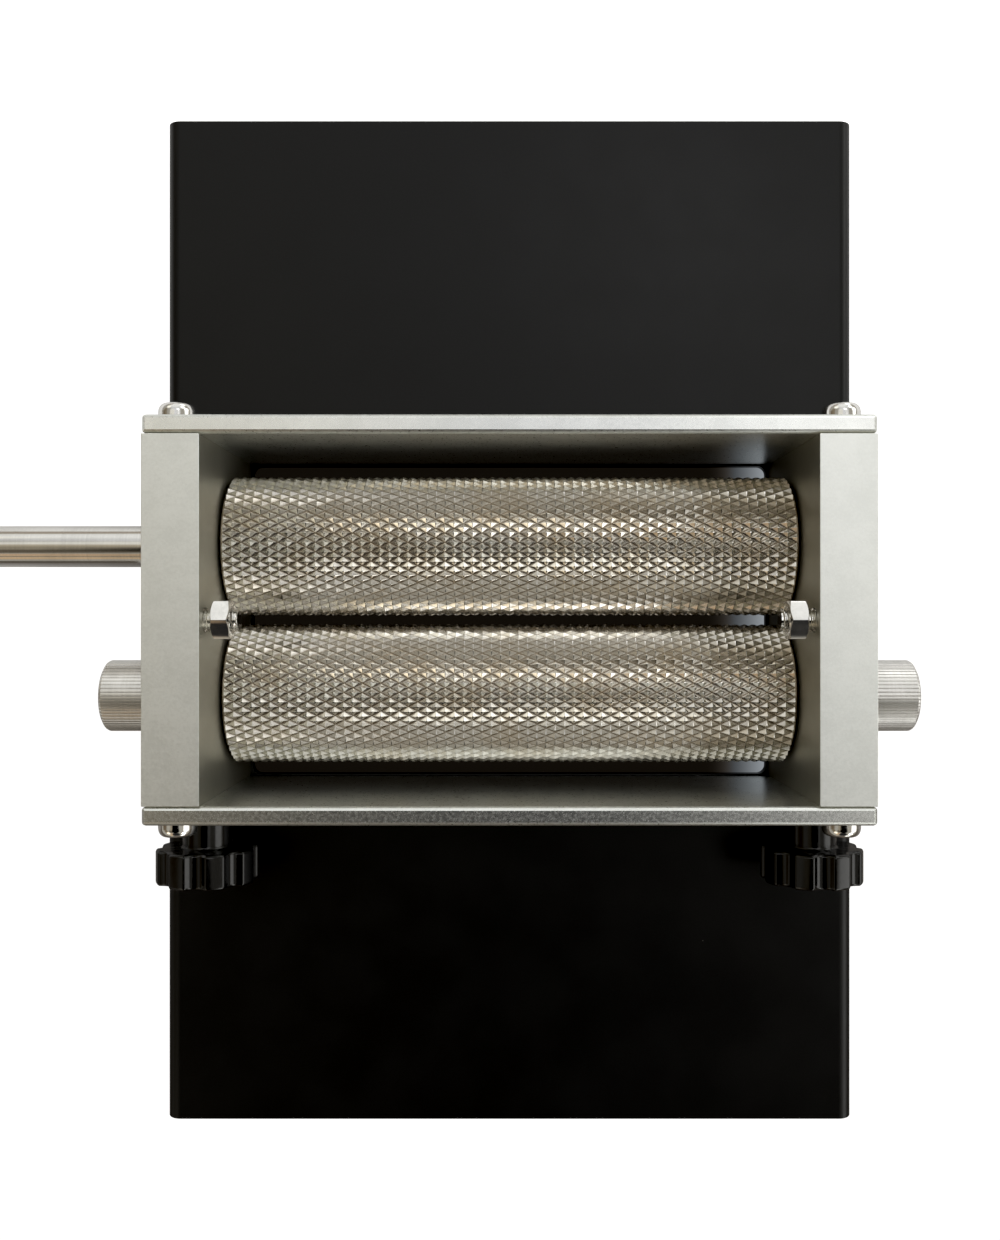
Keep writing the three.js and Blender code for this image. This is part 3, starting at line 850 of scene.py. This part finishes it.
def star(radius, hollow_centre, hollow, fillet):
    """Points of the lobed outline, with the corners between lobes and hollows rounded."""
    across = radius - fillet
    cosine = (across**2 + hollow_centre**2 - (hollow + fillet) ** 2) / (2 * across * hollow_centre)
    offset = math.acos(cosine)
    pitch = TAU / LOBES
    points = []
    for i in range(LOBES):
        base_angle = i * pitch
        hollow_at = Vector((hollow_centre * math.cos(base_angle), hollow_centre * math.sin(base_angle)))
        # The hollow, from its middle to the rounded corner.
        centre = Vector((across * math.cos(base_angle + offset), across * math.sin(base_angle + offset)))
        touch = centre - hollow_at
        first = math.atan2(-hollow_at.y, -hollow_at.x)
        sweep = (math.atan2(touch.y, touch.x) - first + math.pi) % TAU - math.pi
        half = [
            hollow_at + hollow * Vector((math.cos(first + sweep * s / 5), math.sin(first + sweep * s / 5)))
            for s in range(5)
        ]
        back = math.atan2(-touch.y, -touch.x)
        lobe = base_angle + offset
        turn = (lobe - back + math.pi) % TAU - math.pi
        half += [
            centre + fillet * Vector((math.cos(back + turn * s / 5), math.sin(back + turn * s / 5)))
            for s in range(6)
        ]
        cos, sin = math.cos(2 * base_angle), math.sin(2 * base_angle)
        mirrored = [Vector((p.x * cos + p.y * sin, p.x * sin - p.y * cos)) for p in half]
        points += list(reversed(mirrored[1:])) + half
        lobe_end = (i + 1) * pitch - offset
        points += [
            Vector((radius * math.cos(a), radius * math.sin(a)))
            for a in (lobe + (lobe_end - lobe) * s / 4 for s in range(1, 4))
        ]
    return points


def inset(outline, distance):
    """The outline moved inward."""
    made = []
    count = len(outline)
    for i in range(count):
        along = (outline[(i + 1) % count] - outline[i - 1]).normalized()
        made.append(outline[i] + Vector((-along.y, along.x)) * distance)
    return made


def star_knob(name):
    low, high = extent(f"{name}_clamp_knob")
    centre = (low + high) / 2
    length = high.y - low.y
    head = length - HEAD_LENGTH
    outline = star((high.z - low.z) / 2, HOLLOW_CENTRE, HOLLOW_RADIUS, LOBE_FILLET)
    angles = [math.atan2(p.y, p.x) for p in outline]

    def round_ring(radius, along):
        return [(radius * math.cos(a), radius * math.sin(a), along) for a in angles]

    def star_ring(distance, along):
        return [(p.x, p.y, along) for p in inset(outline, distance)]

    edge, steps = HEAD_EDGE, HEAD_EDGE_STEPS
    rings = [round_ring(STUD_POCKET, head + 0.3), round_ring(STUD_POCKET, 0.4), round_ring(2.95, 0)]
    rings += [round_ring(5.2, 0), round_ring(5.48, 0.12), round_ring(HUB_RADIUS, 0.4)]
    rings += [round_ring(HUB_RADIUS, head - 0.7), round_ring(5.8, head - 0.2), round_ring(6.3, head)]
    for s in range(steps + 1):
        angle = s / steps * math.pi / 2
        rings.append(star_ring(edge * (1 - math.sin(angle)), head + edge * (1 - math.cos(angle))))
    for s in range(steps + 1):
        angle = s / steps * math.pi / 2
        rings.append(star_ring(edge * (1 - math.cos(angle)), length - edge * (1 - math.sin(angle))))
    rings.append(round_ring(7.4, length))
    rings.append(round_ring(7.1, length - 0.25))
    return loft("knob", rings, -Y, Vector((centre.x, high.y, centre.z)))


M5_RADIUS, M5_PITCH = 2.5, 0.8
THREAD_DEPTH = 0.55  # as a share of the pitch
THREAD_PROFILE = [(0.0, 0), (0.3, 1), (0.42, 1), (0.75, 0)]  # share of the pitch, and 1 on the crest
THREAD_SIDES = 28
TIP_SLOPE = 0.9  # how fast a stud's pointed end widens
THREAD_MERGED = 1e-3


def threaded(node_name, direction):
    """An M5 stud with a helical thread and pointed ends. A row's last point is the first of the next pitch."""
    low, high = extent(node_name)
    centre = (low + high) / 2
    span = high - low
    length = max(span.x, span.y)
    start = centre - direction * length / 2
    radius, root = M5_RADIUS, M5_RADIUS - THREAD_DEPTH * M5_PITCH
    tip = root + 0.05
    rows = []
    for t in range(-1, int(length / M5_PITCH) + 2):
        for share, on_crest in THREAD_PROFILE:
            row = []
            for i in range(THREAD_SIDES + 1):
                along = (t + share + i / THREAD_SIDES) * M5_PITCH
                at = min(max(along, 0.0), length)
                taper = min(radius, tip + at * TIP_SLOPE, tip + (length - at) * TIP_SLOPE)
                here = radius if on_crest else root
                row.append((min(here, taper) if 0 < along < length else root, TAU * i / THREAD_SIDES, at))
            rows.append(row)
    turn = toward(direction, start)
    points = [turn @ Vector((r * math.cos(a), r * math.sin(a), at)) for row in rows for r, a, at in row]
    faces = []
    wide = THREAD_SIDES + 1
    for r in range(len(rows) - 1):
        for i in range(THREAD_SIDES):
            a, b = r * wide + i, (r + 1) * wide + i
            faces.append((a, a + 1, b + 1, b))
    mesh = bpy.data.meshes.new("stud")
    mesh.from_pydata(points, [], faces)
    shape = bmesh.new()
    shape.from_mesh(mesh)
    bmesh.ops.remove_doubles(shape, verts=shape.verts, dist=THREAD_MERGED)
    bmesh.ops.dissolve_degenerate(shape, edges=shape.edges, dist=THREAD_MERGED)
    open_edges = [e for e in shape.edges if len(e.link_faces) == 1]
    bmesh.ops.holes_fill(shape, edges=open_edges, sides=0)
    bmesh.ops.recalc_face_normals(shape, faces=shape.faces)
    shape.to_mesh(mesh)
    shape.free()
    return linked("stud", mesh)


for name in SIDES:
    placed(star_knob(name), f"{name}_clamp_knob", f"{name}_clamp", PLASTIC, sharp=40)
    node_name = f"{name}_clamp_stud"
    placed(threaded(node_name, Y), node_name, f"{name}_clamp", PLATED)

# ---- Fasteners ----


FASTENER_SIDES = 48
HEAD_RADIUS, HEAD_HEIGHT = 4.05, 3.0
SHANK_RADIUS = 2.0
HEAD_WALL = 1.1  # the height at which the head's dome begins
CROWN = 0.68  # the flat of the dome, as a share of the head's radius
DOME_STEPS = 9
SOCKET_FLATS, SOCKET_DEPTH = 2.5, 1.3
NUT_FLATS, NUT_BORE = 8.0, 2.55
NUT_FACE = 0.95  # the round of a nut's face, as a share of half its flats
NUT_SLOPE = 0.577  # of the chamfer at a nut's corners


def screw(node_name, out):
    """A button-head screw with a hexagon socket. out is the way its head points."""
    low, high = extent(node_name)
    centre = (low + high) / 2
    axis = 1 if abs(out.y) > 0.5 else 2
    tip = low[axis] if out[axis] > 0 else high[axis]
    total = high[axis] - low[axis]
    reach = total - HEAD_HEIGHT
    place = Vector(centre)
    place[axis] = tip
    rim, shank, sides = HEAD_RADIUS, SHANK_RADIUS, FASTENER_SIDES
    crown = CROWN * rim
    rings = [circle(shank - 0.4, 0, sides), circle(shank, 0.4, sides), circle(shank, reach - 0.15, sides)]
    rings += [circle(shank + 0.15, reach, sides), circle(rim - 0.15, reach, sides)]
    rings.append(circle(rim, reach + 0.15, sides))
    for i in range(DOME_STEPS + 1):
        angle = i * math.pi / 2 / DOME_STEPS
        radius = crown + (rim - crown) * math.cos(angle)
        rings.append(circle(radius, reach + HEAD_WALL + (HEAD_HEIGHT - HEAD_WALL) * math.sin(angle), sides))
    rings.append(hexagon(SOCKET_FLATS + 0.28, total, sides))
    rings.append(hexagon(SOCKET_FLATS, total - 0.14, sides))
    rings.append(hexagon(SOCKET_FLATS, total - SOCKET_DEPTH, sides))
    rings.append(circle(0.35, total - SOCKET_DEPTH - 0.35, sides))
    return loft("screw", rings, out, place)


def hopper_nut(name):
    """A hexagon nut, chamfered at both faces, with one corner up."""
    low, high = extent(f"{name}_hopper_nut")
    centre = (low + high) / 2
    length = high.x - low.x
    bore, sides = NUT_BORE, FASTENER_SIDES
    face = NUT_FLATS / 2 * NUT_FACE
    # toward() takes the ring's +across to -Z for +X, so a corner points up and another down.
    outline = hexagon(NUT_FLATS, 0, sides, corner=0.08)

    def rim(from_face, base):
        made = []
        for x, y, _ in outline:
            drop = NUT_SLOPE * max(0.0, math.hypot(x, y) - face)
            made.append((x, y, base + from_face * drop))
        return made

    rings = [
        circle(bore, 0.4, sides),
        circle(bore + 0.4, 0, sides),
        circle(face, 0, sides),
        rim(1, 0),
        rim(-1, length),
        circle(face, length, sides),
        circle(bore + 0.4, length, sides),
        circle(bore, length - 0.4, sides),
    ]
    return loft("nut", rings, X, Vector((low.x, centre.y, centre.z)), ring_closed=True)


for name in SIDES:
    placed(threaded(f"{name}_hopper_stud", X), f"{name}_hopper_stud", "frame", PLATED)
    placed(hopper_nut(name), f"{name}_hopper_nut", "frame", PLATED)
    for end_name, end in ENDS.items():
        for level in ("upper", "lower"):
            node_name = f"cover_screw_{end_name}_{name}_{level}"
            placed(screw(node_name, end * Y), node_name, "frame", PLATED, sharp=28)
        node_name = f"base_screw_{end_name}_{name}"
        placed(screw(node_name, -Z), node_name, "frame", PLATED, sharp=28)

# ---- Camera ----

CAMERA_HEIGHT = 238.1  # above the frame's top
LENS = 33.56

camera = bpy.data.cameras.new("camera")
camera.sensor_fit, camera.sensor_width, camera.sensor_height = "VERTICAL", 36, 36
camera.lens = LENS
camera.shift_x = -0.0077
camera.clip_start, camera.clip_end = 0.01, 50
camera_object = bpy.data.objects.new("camera", camera)
camera_object.location = (CENTRE_X * MM, 0, (TOP_Z + CAMERA_HEIGHT) * MM)
bpy.context.scene.collection.objects.link(camera_object)
bpy.context.scene.camera = camera_object

# ---- Studio ----

# The surroundings are a grey tent with soft patches of light and dark that show in the metal. They are brightest
# to the rear and right, warm on the left, and dark overhead and in front. The camera sees white. The patches come
# from a least-squares fit of small lights to the photo, and were then changed many times.
TENT = (0.40, 0.38, 0.33)
# Each patch: azimuth from +X, angle from the vertical, inner and outer radius in degrees, and colour.
PATCHES = [
    (90, 45, 20, 38, (0.78, 0.78, 0.77)),
    (95, 64, 18, 30, (1.00, 1.00, 0.97)),
    (95, 14, 9, 18, (0.82, 0.82, 0.84)),
    (152, 20, 10, 17, (0.90, 0.88, 0.80)),
    (184, 22, 7, 13, (0.50, 0.44, 0.33)),
    (34, 20, 8, 16, (0.78, 0.78, 0.77)),
    (2, 19, 6, 11, (1.80, 1.78, 1.70)),
    (345, 66, 12, 20, (2.30, 2.28, 2.20)),
    (20, 68, 9, 16, (2.20, 2.20, 2.12)),
    (180, 66, 10, 22, (0.14, 0.10, 0.06)),
    (48, 59, 8, 15, (2.10, 2.10, 2.00)),
    (132, 58, 8, 14, (1.40, 1.36, 1.20)),
    (160, 62, 7, 13, (0.24, 0.20, 0.14)),
    (205, 62, 7, 12, (0.20, 0.16, 0.10)),
    (312, 67, 8, 14, (3.60, 3.55, 3.40)),
    (226, 60, 7, 12, (1.80, 1.60, 1.25)),
    (226, 34, 9, 16, (0.13, 0.11, 0.08)),
    (206, 24, 6, 12, (0.32, 0.28, 0.21)),
    (273, 20, 18, 24, (0.0, 0.0, 0.0)),
    (270, 56, 16, 22, (0.02, 0.02, 0.02)),
    (270, 86, 12, 18, (0.16, 0.14, 0.12)),
    (68, 82, 9, 14, (2.00, 2.00, 1.95)),
    (292, 84, 7, 12, (1.80, 1.80, 1.72)),
    (114, 84, 8, 14, (0.42, 0.37, 0.30)),
    (243, 54, 5, 9, (0.56, 0.40, 0.25)),
    (247, 72, 5, 9, (0.62, 0.45, 0.27)),
]


def world():
    scene_world = bpy.data.worlds.new("studio")
    bpy.context.scene.world = scene_world
    scene_world.use_nodes = True
    tree = scene_world.node_tree
    tree.nodes.clear()
    way = node(tree, "ShaderNodeTexCoord").outputs["Generated"]
    colour = TENT
    for azimuth, zenith, inner, outer, shade in PATCHES:
        a, z = math.radians(azimuth), math.radians(zenith)
        middle_way = (math.sin(z) * math.cos(a), math.sin(z) * math.sin(a), math.cos(z))
        dot = node(tree, "ShaderNodeVectorMath", {0: way, 1: middle_way}, operation="DOT_PRODUCT")
        angle = calc(tree, "ARCCOSINE", calc(tree, "MINIMUM", dot.outputs["Value"], 1.0))
        share = grade(tree, angle, math.radians(inner), math.radians(outer), 1.0, 0.0)
        colour = blend_colour(tree, share, colour, shade)
    seen = node(tree, "ShaderNodeLightPath").outputs["Is Camera Ray"]
    colour = blend_colour(tree, seen, colour, (1.0, 1.0, 1.0))
    background = node(tree, "ShaderNodeBackground", {"Color": colour, "Strength": 1.0})
    output = node(tree, "ShaderNodeOutputWorld")
    tree.links.new(background.outputs[0], output.inputs["Surface"])


FLOOR_RADIUS, FLOOR_DROP = 4, 0.0001
BASE_EDGE_X, BASE_EDGE_Y = (0.080, 0.084), (0.119, 0.123)  # where the floor under the base ends
STRIP_X, STRIP_Y, STRIP_LIGHT = (0.050, 0.072), (0.055, 0.075), 0.62  # where the painted light strip under the base lies, and how bright it is
UNDER_LIGHT = 0.009


def floor():
    """A white floor that shines by itself. Metal sees it dimmer, and darker to the front than to the rear.

    Under the base it is painted nearly black as painted shade, with a faint bluish strip on the right. The strip
    is painted light that stands in for light leaking in; no lamp shines on it."""
    shape = bmesh.new()
    bmesh.ops.create_circle(shape, cap_ends=True, cap_tris=False, segments=96, radius=FLOOR_RADIUS)
    mesh = bpy.data.meshes.new("floor")
    shape.to_mesh(mesh)
    shape.free()
    made = linked("floor", mesh)
    made.location.z = -FLOOR_DROP
    material = bpy.data.materials.new("white floor")
    material.use_nodes = True
    tree = material.node_tree
    tree.nodes.clear()
    place = node(tree, "ShaderNodeSeparateXYZ", {0: node(tree, "ShaderNodeTexCoord").outputs["Object"]})
    x, y = place.outputs["X"], place.outputs["Y"]
    off_x = calc(tree, "ABSOLUTE", calc(tree, "SUBTRACT", x, CENTRE_X * MM))
    inside = calc(
        tree,
        "MULTIPLY",
        grade(tree, off_x, *BASE_EDGE_X, 1.0, 0.0),
        grade(tree, calc(tree, "ABSOLUTE", y), *BASE_EDGE_Y, 1.0, 0.0),
    )
    above = calc(tree, "SUBTRACT", 1.0, node(tree, "ShaderNodeNewGeometry").outputs["Backfacing"])
    inside = calc(tree, "MULTIPLY", inside, above)
    outside = calc(tree, "SUBTRACT", 1.0, inside)
    beside = calc(tree, "MULTIPLY", grade(tree, off_x, 0.06, 0.16, 0.0, 0.26), grade(tree, y, -0.16, 0.0))
    glow = calc(tree, "ADD", grade(tree, y, -0.05, 0.15, 0.0, 0.2), beside)
    seen = node(tree, "ShaderNodeLightPath").outputs["Is Camera Ray"]
    strength = calc(tree, "MAXIMUM", glow, seen)
    # Painted light: a bluish glowing strip under the base's right side, standing in for light that leaks in.
    painted_leak_light = grade(tree, x, CENTRE_X * MM + STRIP_X[0], CENTRE_X * MM + STRIP_X[1], 0.0, STRIP_LIGHT)
    painted_leak_light = calc(tree, "MULTIPLY", painted_leak_light, grade(tree, calc(tree, "ABSOLUTE", y), *STRIP_Y, 1.0, 0.0))
    # Painted light: a faint glow under the whole base, with the strip added.
    under = calc(tree, "MULTIPLY", calc(tree, "ADD", calc(tree, "MULTIPLY", painted_leak_light, painted_leak_light), UNDER_LIGHT), inside)
    strength = calc(tree, "ADD", calc(tree, "MULTIPLY", strength, outside), under)
    shade = blend_colour(tree, grade(tree, under, 0.01, 0.08), (1.0, 0.84, 0.68), (0.86, 0.93, 1.0))
    tint = blend_colour(tree, inside, (1.0, 1.0, 1.0), shade)
    emission = node(tree, "ShaderNodeEmission", {"Color": tint, "Strength": strength})
    # Painted shade: the floor's own colour is dark brown to the front, pale grey to the rear, and nearly black
    # under the base.
    ground = blend_colour(tree, grade(tree, y, -0.06, 0.06), (0.16, 0.14, 0.12), (0.62, 0.62, 0.62))
    ground = blend_colour(tree, inside, ground, (0.01, 0.01, 0.01))
    diffuse = node(tree, "ShaderNodeBsdfDiffuse", {"Color": ground})
    both = node(tree, "ShaderNodeAddShader", {0: emission.outputs[0], 1: diffuse.outputs[0]})
    output = node(tree, "ShaderNodeOutputMaterial")
    tree.links.new(both.outputs[0], output.inputs["Surface"])
    mesh.materials.append(material)


def softbox(name, place, aim, size, power):
    light = bpy.data.lights.new(name, "AREA")
    light.shape, light.size, light.size_y = "RECTANGLE", *size
    light.energy = power
    made = bpy.data.objects.new(name, light)
    made.location = place
    made.rotation_euler = (Vector(aim) - Vector(place)).to_track_quat("-Z", "Y").to_euler()
    bpy.context.scene.collection.objects.link(made)


world()
floor()
softbox("overhead_softbox", (0.25, 0.45, 1.1), (CENTRE_X * MM, 0, 0.05), (0.35, 0.25), 0.3)

BLACK_LEVEL = 0.004

view = bpy.context.scene.view_settings
view.view_transform = "Standard"
view.use_curve_mapping = True
view.curve_mapping.black_level = (BLACK_LEVEL,) * 3
view.curve_mapping.update()
